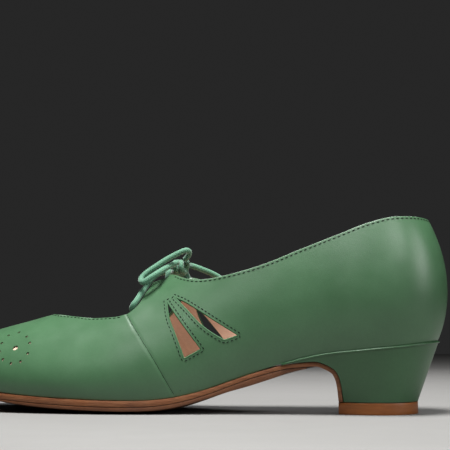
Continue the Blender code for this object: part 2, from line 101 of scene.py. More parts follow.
# edges of the two cut-outs seen from the side, corner to corner
frontWedge = (((126.2, 50.7), (124.0, 43.0), (120.7, 36.0), (117.9, 29.5), (116.2, 25.0)),
              ((115.6, 24.7), (108.6, 28.6), (108.4, 29.0)),
              ((108.8, 29.6), (113.2, 35.2), (119.0, 42.4), (126.0, 50.8)))
rearWedge = (((122.6, 52.7), (117.0, 50.4), (110.4, 46.6), (101.6, 41.2), (92.2, 35.4)),
             ((92.0, 35.0), (92.4, 34.7), (97.8, 32.8)),
             ((98.5, 32.9), (103.6, 35.8), (109.8, 40.4), (116.0, 46.6), (122.7, 52.6)))


def blendRows(rows, share):
    a, b, c, d = rows
    t = share
    return [0.5 * (2 * q + (r - p) * t + (2 * p - 5 * q + 4 * r - s) * t * t + (3 * q - p - 3 * r + s) * t ** 3)
            for p, q, r, s in zip(a, b, c, d)]


def smoothRun(points, steps):
    ends = [points[0]] + list(points) + [points[-1]]
    run = []
    for k in range(len(points) - 1):
        run += [blendRows(ends[k:k + 4], step / steps) for step in range(steps)]
    return run + [list(points[-1])]


def easedAt(rows, at):  # smooth curve that never swings past a row
    if at <= rows[0][0]:
        return rows[0][1]
    if at >= rows[-1][0]:
        return rows[-1][1]
    steeps = [(b[1] - a[1]) / (b[0] - a[0]) for a, b in zip(rows, rows[1:])]
    index = max(k for k in range(len(steeps)) if rows[k][0] <= at)

    def tangent(k):
        if k in (0, len(steeps)):
            return steeps[min(k, len(steeps) - 1)]
        product = steeps[k - 1] * steeps[k]
        return 2 * product / (steeps[k - 1] + steeps[k]) if product > 0 else 0.0

    (x0, low), (x1, high) = rows[index], rows[index + 1]
    span = x1 - x0
    t = (at - x0) / span
    return (low * (1 + 2 * t) * (1 - t) ** 2 + span * tangent(index) * t * (1 - t) ** 2
            + high * t * t * (3 - 2 * t) - span * tangent(index + 1) * t * t * (1 - t))


def lastAt(station):
    index = math.floor(station)
    return blendRows([lastRows[(index + k) % len(lastRows)] for k in (-1, 0, 1, 2)], station - index)


def wallPoint(station, share):
    x, y, z, aim, out1, z1, in2, z2, reach, z3 = lastAt(station)
    width = math.hypot(aim - x, y)
    weights = ((1 - share) ** 3, 3 * share * (1 - share) ** 2, 3 * share * share * (1 - share), share ** 3)
    inward = sum(w * v for w, v in zip(weights, (0.0, -out1, in2, reach * width)))
    height = sum(w * v for w, v in zip(weights, (z, z1, z2, z3)))
    return x + (aim - x) / width * inward, y - y / width * inward, height


def pastTopline(point):
    x, y, z = point
    toeAim = lastRows[last["toeRow"]][3]
    if y < 0 and x < toeAim:
        x += last["medialSetback"] * easedAt(((108.0, 0.0), (128.0, 1.0), (140.0, 1.0), (155.0, 0.0)), x)
    return z >= easedAt(topline, x) or (last["tabBase"] < x < toeAim and abs(y) <= last["tabGap"] / 2)


def toplineShare(station):
    share = 0.2
    while share < 1.0 and not pastTopline(wallPoint(station, share)):
        share += 0.01
    low, high = share - 0.01, min(share, 1.0)
    for _ in range(18):
        middle = (low + high) / 2
        if pastTopline(wallPoint(station, middle)):
            high = middle
        else:
            low = middle
    return low


def place(point):  # shoe millimetres to the frame's metres
    x, y, z = point
    return Vector(((last["length"] / 2 - x) * mm, -y * mm, z * mm))


def feather(station, outward):
    x, y, z, aim = lastAt(station)[:4]
    width = math.hypot(aim - x, y)
    return x - (aim - x) / width * outward, y + y / width * outward, z


def meshFrom(shape, name):
    mesh = bpy.data.meshes.new(name)
    shape.to_mesh(mesh)
    shape.free()
    return mesh


def addPiece(name, mesh, looks, slot, *nodes):
    piece = bpy.data.objects.new(name, mesh)
    scene.collection.objects.link(piece)
    piece.data.materials.clear()
    for look in looks:
        piece.data.materials.append(look)
    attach(piece, "root")
    if nodes:
        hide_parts(*nodes)
    return piece


def smoothShade(piece, degrees):
    piece.data.shade_smooth()
    piece.data.set_sharp_from_angle(angle=math.radians(degrees))


def bakeModifiers(piece):
    graph = bpy.context.evaluated_depsgraph_get()
    baked = bpy.data.meshes.new_from_object(piece.evaluated_get(graph))
    piece.modifiers.clear()
    piece.data = baked


def carve(piece, cutter):
    step = piece.modifiers.new("carve", "BOOLEAN")
    step.solver = "EXACT"
    step.object = cutter
    bakeModifiers(piece)
    bpy.data.objects.remove(cutter)


def cutterFrom(shape, name):
    cutter = bpy.data.objects.new(name, meshFrom(shape, name))
    scene.collection.objects.link(cutter)
    return cutter


def tint(red, green, blue):  # screen values to the shader's colour
    return [(value / 255) ** 2.2 for value in (red, green, blue)] + [1.0]


def addNode(tree, kind, **values):
    node = tree.nodes.new(kind)
    for key, value in values.items():
        if key in node.inputs:
            node.inputs[key].default_value = value
        else:
            setattr(node, key, value)
    return node


def ramp(tree, source, low, high, bottom, top):
    node = addNode(tree, "ShaderNodeMapRange")
    for socket, value in zip(("From Min", "From Max", "To Min", "To Max"), (low, high, bottom, top)):
        node.inputs[socket].default_value = value
    tree.links.new(source, node.inputs["Value"])
    return node.outputs["Result"]


def mixTints(tree, share, first, second):
    node = addNode(tree, "ShaderNodeMix", data_type="RGBA")
    tree.links.new(share, node.inputs["Factor"])
    for socket, source in ((node.inputs[6], first), (node.inputs[7], second)):
        if isinstance(source, list):
            socket.default_value = source
        else:
            tree.links.new(source, socket)
    return node.outputs[2]


def bumpOver(tree, height, depth, below=None):
    node = addNode(tree, "ShaderNodeBump", Strength=1.0, Distance=depth * mm)
    tree.links.new(height, node.inputs["Height"])
    if below:
        tree.links.new(below, node.inputs["Normal"])
    return node.outputs["Normal"]


def grainLook(name, values):
    look = bpy.data.materials.new(name)
    look.use_nodes = True
    tree = look.node_tree
    shader = tree.nodes["Principled BSDF"]
    spot = addNode(tree, "ShaderNodeTexCoord").outputs["Object"]
    if "stretch" in values:  # fibres run along the layer
        mapping = addNode(tree, "ShaderNodeMapping", Scale=values["stretch"])
        tree.links.new(spot, mapping.inputs["Vector"])
        fibreSpot = mapping.outputs["Vector"]
    else:
        fibreSpot = spot

    def cloud(scale, detail, where):
        node = addNode(tree, "ShaderNodeTexNoise", Scale=scale, Detail=detail, Roughness=0.55)
        tree.links.new(where, node.inputs["Vector"])
        return node.outputs["Fac"]

    broad = ramp(tree, cloud(values["cloud"], 3.0, spot), 0.35, 0.65, 0.0, 1.0)
    fine = ramp(tree, cloud(values["fleck"], 2.0, fibreSpot), 0.3, 0.7, 0.0, values["fleckShare"])
    tone = mixTints(tree, broad, tint(*values["deep"]), tint(*values["pale"]))
    tone = mixTints(tree, fine, tone, tint(*values["fleckTint"]))
    tree.links.new(tone, shader.inputs["Base Color"])
    gloss = ramp(tree, cloud(values["cloud"] * 4, 3.0, spot), 0.3, 0.7, *values["roughness"])
    tree.links.new(gloss, shader.inputs["Roughness"])
    pores = addNode(tree, "ShaderNodeTexVoronoi", Scale=values["grain"], feature="DISTANCE_TO_EDGE")
    tree.links.new(fibreSpot, pores.inputs["Vector"])
    cells = ramp(tree, pores.outputs["Distance"], 0.0, 0.25, 0.0, 1.0)
    relief = bumpOver(tree, cloud(values["cloud"] * 6, 4.0, spot), values["waveDepth"])
    relief = bumpOver(tree, cells, values["grainDepth"], relief)
    relief = bumpOver(tree, cloud(values["grain"] * 1.7, 2.0, fibreSpot), values["grainDepth"] * 0.6, relief)
    tree.links.new(relief, shader.inputs["Normal"])
    shader.inputs["Coat Weight"].default_value = values.get("coat", 0.0)
    shader.inputs["Coat Roughness"].default_value = 0.3
    shader.inputs["Specular IOR Level"].default_value = values.get("specular", 0.5)
    return look


smoothGrain = {"fleckShare": 0.25, "cloud": 28.0, "fleck": 900.0, "grain": 1500.0, "grainDepth": 0.012,
               "waveDepth": 0.03}
softGrain = {"fleckShare": 0.3, "cloud": 40.0, "fleck": 700.0, "grain": 1300.0, "grainDepth": 0.015,
             "waveDepth": 0.04, "roughness": (0.55, 0.7)}
upperGreen = grainLook("upperGreen", {
    **smoothGrain, "deep": (59, 91, 63), "pale": (66, 100, 70), "fleckTint": (52, 82, 56),
    "roughness": (0.34, 0.42), "specular": 0.55, "coat": 0.14})
heelGreen = grainLook("heelGreen", {
    **smoothGrain, "deep": (50, 82, 54), "pale": (57, 91, 61), "fleckTint": (44, 74, 48),
    "roughness": (0.36, 0.44), "specular": 0.45, "coat": 0.08})
foldGreen = grainLook("foldGreen", {
    **smoothGrain, "deep": (58, 90, 62), "pale": (66, 100, 70), "fleckTint": (52, 82, 56),
    "roughness": (0.6, 0.7), "specular": 0.2})
liningTan = grainLook("liningTan", {
    **softGrain, "deep": (203, 172, 151), "pale": (213, 183, 163), "fleckTint": (188, 155, 134)})
sockTan = grainLook("sockTan", {
    **softGrain, "deep": (164, 136, 117), "pale": (174, 147, 128), "fleckTint": (150, 122, 103)})
soleTan = grainLook("soleTan", {
    "deep": (88, 47, 19), "pale": (109, 61, 27), "fleckTint": (152, 104, 67), "fleckShare": 0.45,
    "cloud": 70.0, "fleck": 260.0, "grain": 420.0, "grainDepth": 0.03, "waveDepth": 0.05,
    "stretch": (0.5, 0.5, 5.0), "roughness": (0.5, 0.68)})
treadBrown = grainLook("treadBrown", {
    "deep": (84, 49, 26), "pale": (104, 63, 34), "fleckTint": (74, 44, 24), "fleckShare": 0.5,
    "cloud": 60.0, "fleck": 320.0, "grain": 500.0, "grainDepth": 0.025, "waveDepth": 0.05,
    "stretch": (0.5, 0.5, 4.0), "roughness": (0.42, 0.6)})
tipTan = grainLook("tipTan", {
    "deep": (127, 72, 28), "pale": (146, 86, 36), "fleckTint": (105, 58, 24), "fleckShare": 0.4,
    "cloud": 60.0, "fleck": 300.0, "grain": 600.0, "grainDepth": 0.015, "waveDepth": 0.03,
    "stretch": (0.4, 0.4, 5.0), "roughness": (0.36, 0.5), "coat": 0.1})


def plainThread(name, color):
    look = bpy.data.materials.new(name)
    look.use_nodes = True
    shader = look.node_tree.nodes["Principled BSDF"]
    wisps = addNode(look.node_tree, "ShaderNodeTexNoise", Scale=4000.0, Detail=2.0)
    spot = addNode(look.node_tree, "ShaderNodeTexCoord")
    look.node_tree.links.new(spot.outputs["Object"], wisps.inputs["Vector"])
    look.node_tree.links.new(bumpOver(look.node_tree, wisps.outputs["Fac"], 0.03), shader.inputs["Normal"])
    shader.inputs["Base Color"].default_value = tint(*color)
    shader.inputs["Roughness"].default_value = 0.75
    shader.inputs["Specular IOR Level"].default_value = 0.15
    return look


def cordLook(name, values):
    look = bpy.data.materials.new(name)
    look.use_nodes = True
    tree = look.node_tree
    shader = tree.nodes["Principled BSDF"]
    along = addNode(tree, "ShaderNodeTexCoord").outputs["UV"]
    strands = []
    for lean in (1.0, -1.0):  # two sets of strands cross in the braid
        mapping = addNode(tree, "ShaderNodeMapping", Scale=(values["plait"], lean * values["strands"], 1.0))
        tree.links.new(along, mapping.inputs["Vector"])
        wave = addNode(tree, "ShaderNodeTexWave", Scale=1.0, Distortion=0.6, bands_direction="DIAGONAL")
        tree.links.new(mapping.outputs["Vector"], wave.inputs["Vector"])
        strands.append(wave.outputs["Fac"])
    crossed = addNode(tree, "ShaderNodeMath", operation="MAXIMUM")
    tree.links.new(strands[0], crossed.inputs[0])
    tree.links.new(strands[1], crossed.inputs[1])
    tone = mixTints(tree, crossed.outputs[0], tint(*values["deep"]), tint(*values["pale"]))
    tree.links.new(tone, shader.inputs["Base Color"])
    fuzz = addNode(tree, "ShaderNodeTexNoise", Scale=2600.0, Detail=3.0)
    spot = addNode(tree, "ShaderNodeTexCoord")
    tree.links.new(spot.outputs["Object"], fuzz.inputs["Vector"])
    relief = bumpOver(tree, crossed.outputs[0], values["depth"])
    relief = bumpOver(tree, fuzz.outputs["Fac"], 0.05, relief)
    tree.links.new(relief, shader.inputs["Normal"])
    shader.inputs["Roughness"].default_value = 0.7
    shader.inputs["Sheen Weight"].default_value = 0.3
    return look


# the dark thread colour also paints the shade line in the vamp seam
threadAndShadeGreen = plainThread("threadAndShadeGreen", (16, 31, 21))
laceGreen = cordLook("laceGreen", {"deep": (46, 92, 68), "pale": (75, 125, 98), "plait": 1.6, "strands": 3.0,
                                   "depth": 0.07})
print("looks ready")


def tubeMesh(name, runs, diameter, sidesHalf, closed):
    curve = bpy.data.curves.new(name, "CURVE")
    curve.dimensions = "3D"
    curve.bevel_depth = diameter / 2 * mm
    curve.bevel_resolution = sidesHalf
    curve.use_fill_caps = True
    for run in runs:
        spline = curve.splines.new("POLY")
        spline.points.add(len(run) - 1)
        spline.use_cyclic_u = closed
        for knot, spot in zip(spline.points, run):
            knot.co = (*spot, 1.0)
    drawn = bpy.data.objects.new(name, curve)
    mesh = bpy.data.meshes.new_from_object(drawn)
    bpy.data.objects.remove(drawn)
    shape = bmesh.new()
    shape.from_mesh(mesh)
    bmesh.ops.remove_doubles(shape, verts=shape.verts, dist=1e-7)
    bmesh.ops.recalc_face_normals(shape, faces=shape.faces)
    shape.to_mesh(mesh)
    shape.free()
    return mesh


def evenSteps(run, step, closed):  # points a fixed step apart along a run of (spot, normal)
    if closed:
        run = run + [run[0]]
    spread, left = [], 0.0
    for (a, aNormal), (b, bNormal) in zip(run, run[1:]):
        length = (b - a).length / mm
        while left <= length and length > 0:
            share = left / length
            spread.append((a.lerp(b, share), aNormal.lerp(bNormal, share).normalized(), (b - a).normalized()))
            left += step
        left -= length
    return spread


lace = {"diameter": 2.7, "steps": 6, "tipRound": 0.7}
laceRoutes = {
    "lateralBar": ((129.5, 8.4, 59.9), (131.3, 10.8, 57.3), (134.3, 13.6, 54.0), (137.4, 17.0, 50.1),
                   (139.8, 19.3, 46.9), (142.0, 20.4, 45.7), (143.2, 21.9, 47.1), (142.4, 22.9, 48.9),
                   (141.5, 22.4, 50.3), (140.8, 21.2, 51.8), (140.0, 19.2, 54.0), (139.1, 16.3, 56.7),
                   (138.2, 13.5, 59.2), (136.9, 10.6, 61.8), (134.4, 6.6, 64.6), (131.4, 1.0, 65.5),
                   (129.6, -5.0, 65.6), (128.0, -10.8, 65.3), (126.8, -15.5, 63.3), (126.0, -18.9, 60.0)),
    "medialBar": ((131.7, -22.0, 54.4), (131.9, -20.0, 57.4), (132.0, -17.3, 60.3), (131.8, -14.2, 62.9),
                  (131.2, -8.0, 65.2), (130.4, -2.0, 65.6), (130.1, 3.4, 65.6), (129.9, 6.0, 64.9), (129.8, 7.6, 62.6),
                  (129.6, 9.0, 58.6)),
    "lateralLoop": ((122.5, 3.4, 71.3), (120.4, 4.9, 73.3), (119.8, 6.6, 74.8), (121.5, 8.6, 75.2), (127.6, 10.6, 72.1),
                    (131.3, 12.4, 69.6), (134.7, 14.3, 67.0), (137.8, 16.0, 64.5), (139.8, 17.6, 62.1),
                    (139.7, 19.4, 60.3), (138.0, 20.6, 59.8), (135.5, 19.8, 61.6), (132.4, 17.6, 64.0),
                    (129.5, 12.0, 66.9), (125.8, 4.6, 70.1)),
    "medialLoop": ((120.3, -1.7, 68.8), (115.3, -4.2, 66.9), (111.7, -6.4, 65.4), (108.4, -8.4, 63.5),
                   (105.9, -10.4, 61.3), (105.4, -13.0, 60.2), (106.9, -15.4, 61.6), (109.7, -15.0, 63.8),
                   (113.0, -12.9, 65.8), (116.7, -10.7, 67.4), (120.0, -8.4, 68.7), (122.3, -6.6, 69.3)),
    "frontEnd": ((126.8, -4.0, 70.6), (129.2, -8.6, 70.9), (131.5, -13.5, 68.4), (133.4, -18.5, 63.6),
                 (135.0, -22.5, 57.6), (136.2, -24.9, 51.5)),
    "rearEnd": ((124.2, -5.0, 66.8), (125.6, -10.4, 68.6), (126.6, -15.0, 67.6), (126.6, -18.6, 65.2),
                (126.0, -21.9, 62.3), (125.7, -23.7, 57.4), (125.2, -25.5, 51.4), (124.8, -27.2, 45.4))}
knotCoil = {"centre": (125.2, 0.0, 67.9), "radius": 2.4, "turns": 2.1, "pitch": 2.9, "steps": 48, "start": 1.2}


def knotRun():
    x, y, z = knotCoil["centre"]
    run = []
    for k in range(knotCoil["steps"] + 1):
        share = k / knotCoil["steps"]
        turn = 2 * math.pi * knotCoil["turns"] * share + knotCoil["start"]
        run.append(place((x + knotCoil["pitch"] * knotCoil["turns"] * (share - 0.5),
                          y + knotCoil["radius"] * math.cos(turn), z + knotCoil["radius"] * math.sin(turn))))
    return run


def runLength(run):
    return sum((b - a).length for a, b in zip(run, run[1:]))


def laceMesh(name, runs):
    mesh = tubeMesh(name, runs, lace["diameter"], 5, False)
    shape = bmesh.new()
    shape.from_mesh(mesh)
    around = shape.loops.layers.uv.active
    plaits = runLength(runs[0]) / mm / lace["diameter"]
    for face in shape.faces:
        for loop in face.loops:
            loop[around].uv.x *= plaits
    ends = [edge for face in shape.faces if len(face.verts) > 6 for edge in face.edges]
    bmesh.ops.bevel(shape, geom=ends, offset=lace["tipRound"] * mm, segments=3, profile=0.5, affect="EDGES",
                    material=-1)
    shape.to_mesh(mesh)
    shape.free()
    mesh.shade_smooth()
    return mesh


def laceRun(name):
    return [place(spot) for spot in smoothRun(laceRoutes[name], lace["steps"])]


def makeLace():
    bars = [laceRun("lateralBar"), laceRun("medialBar")]
    addPiece("laceBars", laceMesh("laceBars", bars), (laceGreen,), "lace_cord", "lace_bars")
    runs = {"laceKnot": (knotRun(), "lace_knot", "bare", "coiled")}
    for name, node, farEnd in (("lateralLoop", "lace_loop_lateral", "knot"), ("medialLoop", "lace_loop_medial", "knot"),
                               ("frontEnd", "lace_end_front", "bare"), ("rearEnd", "lace_end_rear", "bare")):
        runs["lace" + name[0].upper() + name[1:]] = (laceRun(name), node, farEnd, "hanging")
    for name, (run, node, farEnd, lay) in runs.items():
        piece = addPiece(name, laceMesh(name, [run]), (laceGreen,), "lace_cord", node)


makeLace()
print("lace tied")

# the last three entries lay a dark tube beside the fold in the vamp seam: painted shade, standing in for the shadow
# between the vamp's edge and the quarter
vampSeam = {
    "outer": ((146.6, 46.4), (145.0, 44.4), (136.6, 33.8), (128.7, 22.3), (121.0, 8.6), (119.0, 5.0)),
    "inner": ((140.6, 46.4), (139.2, 44.4), (131.6, 33.8), (124.6, 22.3), (118.0, 10.0), (116.0, 6.0)),
    "crease": 0.14, "creaseHalf": 0.4, "creaseSide": 0.4, "lap": 0.08, "lapEdge": 0.4, "lapReach": 5.0,
    "foldRadius": 0.2, "foldSink": 0.17, "gapRadius": 0.2, "gapSink": 0.15, "shadeLineAside": 0.6}
vampSeamRuns = {side: smoothRun(vampSeam[side], 6) for side in ("outer", "inner")}
backSeam = {"depth": 0.2, "half": 0.5, "reach": 14.0}
leatherWaves = ((0.16, 0.035), (0.05, 0.11))  # depth in millimetres, waves to the millimetre
tabCrease = {"from": (130.2, 62.8), "to": (131.8, 57.6), "depth": 0.28, "half": 1.5}


def seamDistance(run, x, z):  # positive towards the toe
    best, signed = 1e9, 0.0
    for (x0, z0), (x1, z1) in zip(run, run[1:]):
        dx, dz = x1 - x0, z1 - z0
        t = max(0.0, min(1.0, ((x - x0) * dx + (z - z0) * dz) / (dx * dx + dz * dz)))
        away = math.hypot(x - x0 - t * dx, z - z0 - t * dz)
        if away < best:
            best = away
            signed = math.copysign(away, dx * (z - z0) - dz * (x - x0))
    return signed


def leatherRelief(point):  # millimetres off the last
    x, y, z = point
    relief = sum(depth * noise.noise(Vector((x, y, z)) * scale) for depth, scale in leatherWaves)
    if 112 < x < 154:
        away = seamDistance(vampSeamRuns["outer" if y > 0 else "inner"], x, z)
        relief -= vampSeam["crease"] * math.exp(-((away + vampSeam["creaseSide"]) / vampSeam["creaseHalf"]) ** 2)
        if away > 0:
            lap = 1 - math.exp(-(away / vampSeam["lapEdge"]) ** 2)
            relief += vampSeam["lap"] * lap * math.exp(-away / vampSeam["lapReach"])
    if x < backSeam["reach"]:
        relief -= backSeam["depth"] * math.exp(-(y / backSeam["half"]) ** 2)
    if y > 0 and 124 < x < 136 and z > 50:
        away = seamDistance((tabCrease["from"], tabCrease["to"]), x, z)
        relief -= tabCrease["depth"] * math.exp(-(away / tabCrease["half"]) ** 2)
    return relief


upperShape = {"rows": 60, "columns": 14, "fineColumns": 40, "fineSections": (7, 8, 9, 22, 23, 24)}


def makeLastSkin():  # outer face of the leather, before it gets its thickness
    stations = []
    for index in range(len(lastRows)):
        cuts = upperShape["fineColumns" if index in upperShape["fineSections"] else "columns"]
        stations += [index + k / cuts for k in range(cuts)]
    tops = [toplineShare(station) for station in stations]
    count = len(stations)
    skin = bmesh.new()
    bmesh.ops.create_grid(skin, x_segments=count, y_segments=upperShape["rows"], size=0.5)
    drawn = {}
    edge = [None] * count
    for vert in skin.verts:
        column = round((vert.co.x + 0.5) * count) % count
        share = vert.co.y + 0.5
        point = wallPoint(stations[column], share * tops[column])
        vert.co = place(point)
        drawn[vert] = point
        if share > 0.999:
            edge[column] = vert
    skin.verts.index_update()
    bmesh.ops.remove_doubles(skin, verts=skin.verts, dist=1e-6)
    bmesh.ops.reverse_faces(skin, faces=skin.faces)
    skin.normal_update()
    for vert in skin.verts:
        vert.co += vert.normal * leatherRelief(drawn[vert]) * mm
    skin.normal_update()
    rim = [vert for vert in edge if vert and vert.is_valid]
    rimPoints = [(vert.co.copy(), vert.normal.copy()) for vert in rim]
    return skin, rimPoints


def wedgeOutline(wedge, setback):
    front, base, back = wedge
    outline = smoothRun(front, 6) + [list(spot) for spot in base] + smoothRun(back, 6)
    return [(x - setback, z) for x, z in outline]


sides = ((1, 0.0), (-1, last["wedgeSetback"]))  # outer, inner
wedges = [(sign, wedgeOutline(wedge, setback)) for sign, setback in sides for wedge in (frontWedge, rearWedge)]

eyelets = {"diameter": 3.4, "foldSink": 0.1,
           "holes": (((131.5, -20.4, 53.2), (0.1, -0.78, 0.62)), ((126.0, -17.5, 58.6), (0.0, -0.76, 0.65)))}
medallion = {"depth": 0.75, "centreDiameter": 2.8, "holeDiameter": 1.5, "centre": (197.1, 29.4),
             "ring": ((193.4, 34.6), (190.4, 31.7), (189.6, 26.9), (192.4, 23.2), (197.2, 22.3), (201.9, 24.1),
                      (205.0, 27.6), (205.6, 31.6), (204.0, 35.2), (199.0, 36.6))}  # x, z on both sides of the vamp
vents = {"centre": (66.0, 52.0), "radius": 6.0, "angles": (100, 125, 150, 175, 200), "holeDiameter": 1.3}


def onLeather(tree, x, z, sign):
    start = place((x, sign * 90.0, z))
    spot, normal, _, _ = tree.ray_cast(start, Vector((0, sign, 0)))
    return spot, normal


def punchAt(shape, spot, normal, diameter, above, below, floorIndex):
    turn = normal.to_track_quat("Z", "Y").to_matrix().to_4x4()
    middle = spot + normal * (above - below) / 2 * mm
    made = bmesh.ops.create_cone(shape, cap_ends=True, segments=20, radius1=diameter / 2 * mm,
                                 radius2=diameter / 2 * mm, depth=(above + below) * mm,
                                 matrix=Matrix.Translation(middle) @ turn)
    for face in {face for vert in made["verts"] for face in vert.link_faces}:
        if face.normal.dot(normal) < -0.9:
            face.material_index = floorIndex


def makeUpper(skin, tree):
    upper = addPiece("upperLeather", meshFrom(skin, "upperLeather"), (upperGreen, liningTan), "upper_leather", "upper")
    wall = upper.modifiers.new("wall", "SOLIDIFY")
    wall.thickness = last["wall"] * mm
    wall.offset = -1.0
    wall.material_offset = 1
    bakeModifiers(upper)
    openings = bmesh.new()
    for sign, outline in wedges:
        near, far = (8.0, 60.0) if sign > 0 else (-60.0, -8.0)
        ring = [openings.verts.new(place((x, near, z))) for x, z in outline]
        pulled = bmesh.ops.extrude_face_region(openings, geom=[openings.faces.new(ring)])
        moved = [item for item in pulled["geom"] if isinstance(item, bmesh.types.BMVert)]
        bmesh.ops.translate(openings, verts=moved, vec=(0, -(far - near) * mm, 0))
    bmesh.ops.recalc_face_normals(openings, faces=openings.faces)
    for spot, faces in eyelets["holes"]:
        punchAt(openings, place(spot), Vector((-faces[0], -faces[1], faces[2])).normalized(), eyelets["diameter"],
                4.0, 4.0, 0)
    carve(upper, cutterFrom(openings, "openings"))
    punches = bmesh.new()
    for sign in (1, -1):
        holes = [(medallion["centre"], medallion["centreDiameter"])]
        holes += [(hole, medallion["holeDiameter"]) for hole in medallion["ring"]]
        for (x, z), diameter in holes:
            spot, normal = onLeather(tree, x, z, sign)
            punchAt(punches, spot, normal, diameter, 1.0, medallion["depth"], 1)
    for angle in vents["angles"]:
        turn = math.radians(angle)
        x = vents["centre"][0] + math.cos(turn) * vents["radius"]
        z = vents["centre"][1] + math.sin(turn) * vents["radius"]
        spot, normal = onLeather(tree, x, z, -1)
        punchAt(punches, spot, normal, vents["holeDiameter"], 1.0, medallion["depth"], 1)
    carve(upper, cutterFrom(punches, "punches"))
    smoothShade(upper, 40)


folds = {"topRadius": 0.92, "topDrop": 0.3, "cutRadius": 0.46, "cutSink": 0.38}
stitching = {"topInset": 0.8, "topPitch": 2.3, "cutInset": 1.1, "cutPitch": 2.0, "thread": 0.23, "share": 0.68,
             "backPitch": 1.7, "backHeights": (34, 85),
             "bareTabs": ((-20.0, 1.5), (-14.0, 7.5))}  # no row on the tabs, outer and inner side


def makeFolds(tree, rimPoints):
    even = evenSteps(rimPoints, 0.8, True)
    drop = Vector((0, 0, folds["topDrop"] * mm))
    topRun = [spot - normal * folds["topRadius"] * mm - drop for spot, normal, _ in even]
    addPiece("topFold", tubeMesh("topFold", [topRun], folds["topRadius"] * 2, 4, True), (upperGreen,), "upper_leather")
    runs = []
    for sign, outline in wedges:
        run = [onLeather(tree, x, z, sign) for x, z in outline]
        runs.append([spot - normal * folds["cutSink"] * mm for spot, normal, _ in evenSteps(run, 0.6, True)])
    for spot, _ in eyelets["holes"]:
        centre, normal, _, _ = tree.find_nearest(place(spot))
        turn = normal.to_track_quat("Z", "Y").to_matrix()
        around = [Vector((math.cos(a), math.sin(a), 0.0)) for a in (k * math.pi / 12 for k in range(24))]
        sink = normal * eyelets["foldSink"] * mm
        runs.append([centre + turn @ (way * eyelets["diameter"] / 2 * mm) - sink for way in around])
    addPiece("cutFolds", tubeMesh("cutFolds", runs, folds["cutRadius"] * 2, 3, True), (foldGreen,), "upper_leather")
    # the second run lays a thin tube of dark thread colour beside the vamp fold: painted shade of the seam, not a piece
    # of the shoe
    for name, part, aside, look in (("vampFold", "fold", 0.0, foldGreen),
                                    ("vampShadeLine", "gap", vampSeam["shadeLineAside"], threadAndShadeGreen)):
        seams = []
        for side, sign in (("outer", 1), ("inner", -1)):
            spots = [onLeather(tree, x - aside, z, sign) for x, z in smoothRun(vampSeam[side][1:-1], 8)]
            sink = vampSeam[part + "Sink"] * mm
            seams.append([spot - normal * sink for spot, normal, _ in evenSteps(spots, 0.6, False)])
        addPiece(name, tubeMesh(name, seams, vampSeam[part + "Radius"] * 2, 3, False), (look,), "upper_leather")
    for name in ("topFold", "cutFolds", "vampFold", "vampShadeLine"):
        bpy.data.objects[name].data.shade_smooth()


def offsetRun(tree, run, inset):  # a line that keeps its distance from an edge, on the leather
    moved = []
    for k, (spot, normal) in enumerate(run):
        ahead = run[(k + 1) % len(run)][0] - run[k - 1][0]
        spotOn, normalOn, _, _ = tree.find_nearest(spot + ahead.cross(normal).normalized() * inset * mm)
        moved.append((spotOn, normalOn))
    return moved


def onTab(spot):
    start, end = stitching["bareTabs"][0 if spot.y < 0 else 1]
    return start < spot.x / mm < end and spot.z > 40 * mm


def addStitches(shape, run, pitch, skip=lambda spot: False, closed=True):
    thread, share = stitching["thread"], stitching["share"]
    for spot, normal, along in evenSteps(run, pitch, closed):
        if skip(spot):
            continue
        sideways = normal.cross(along).normalized()
        turn = Matrix((along, sideways, normal)).transposed().to_4x4()
        size = Matrix.Diagonal((pitch * share / 2 * mm, thread * mm, thread * mm, 1.0))
        bmesh.ops.create_uvsphere(shape, u_segments=8, v_segments=5, radius=1.0,
                                  matrix=Matrix.Translation(spot + normal * 0.04 * mm) @ turn @ size)


def loopWay(run):  # 1 where the loop's inner side is on the right of its way, seen from outside
    turn = sum((run[k - 1][0] - run[k - 2][0]).cross(run[k][0] - run[k - 1][0]).dot(run[k][1])
               for k in range(len(run)))
    return 1 if turn < 0 else -1


def makeStitching(tree, rimPoints):
    shape = bmesh.new()
    rim = [(spot, normal) for spot, normal, _ in evenSteps(rimPoints, 1.0, True)]
    for inset in (stitching["topInset"], -stitching["topInset"]):
        trial = offsetRun(tree, rim, inset)
        if sum(a[0].z - b[0].z for a, b in zip(rim, trial)) > 0.25 * mm * len(rim):
            addStitches(shape, trial, stitching["topPitch"], onTab)
    for sign, outline in wedges:
        cut = [onLeather(tree, x, z, sign) for x, z in outline]
        edge = [(spot, normal) for spot, normal, _ in evenSteps(cut, 0.7, True)]
        outer = offsetRun(tree, edge, -loopWay(edge) * stitching["cutInset"])
        addStitches(shape, outer, stitching["cutPitch"])
    back = [tree.ray_cast(Vector((0.3, 0.0, height * mm)), Vector((-1, 0, 0)))[:2]
            for height in range(*stitching["backHeights"])]
    addStitches(shape, back, stitching["backPitch"], closed=False)
    bmesh.ops.recalc_face_normals(shape, faces=shape.faces)
    stitches = addPiece("stitches", meshFrom(shape, "stitches"), (threadAndShadeGreen,), "upper_leather")
    stitches.data.shade_smooth()


skin, rimPoints = makeLastSkin()
skinTree = BVHTree.FromBMesh(skin)
makeUpper(skin, skinTree)
makeFolds(skinTree, rimPoints)
makeStitching(skinTree, rimPoints)
print("upper, folds and stitching done")

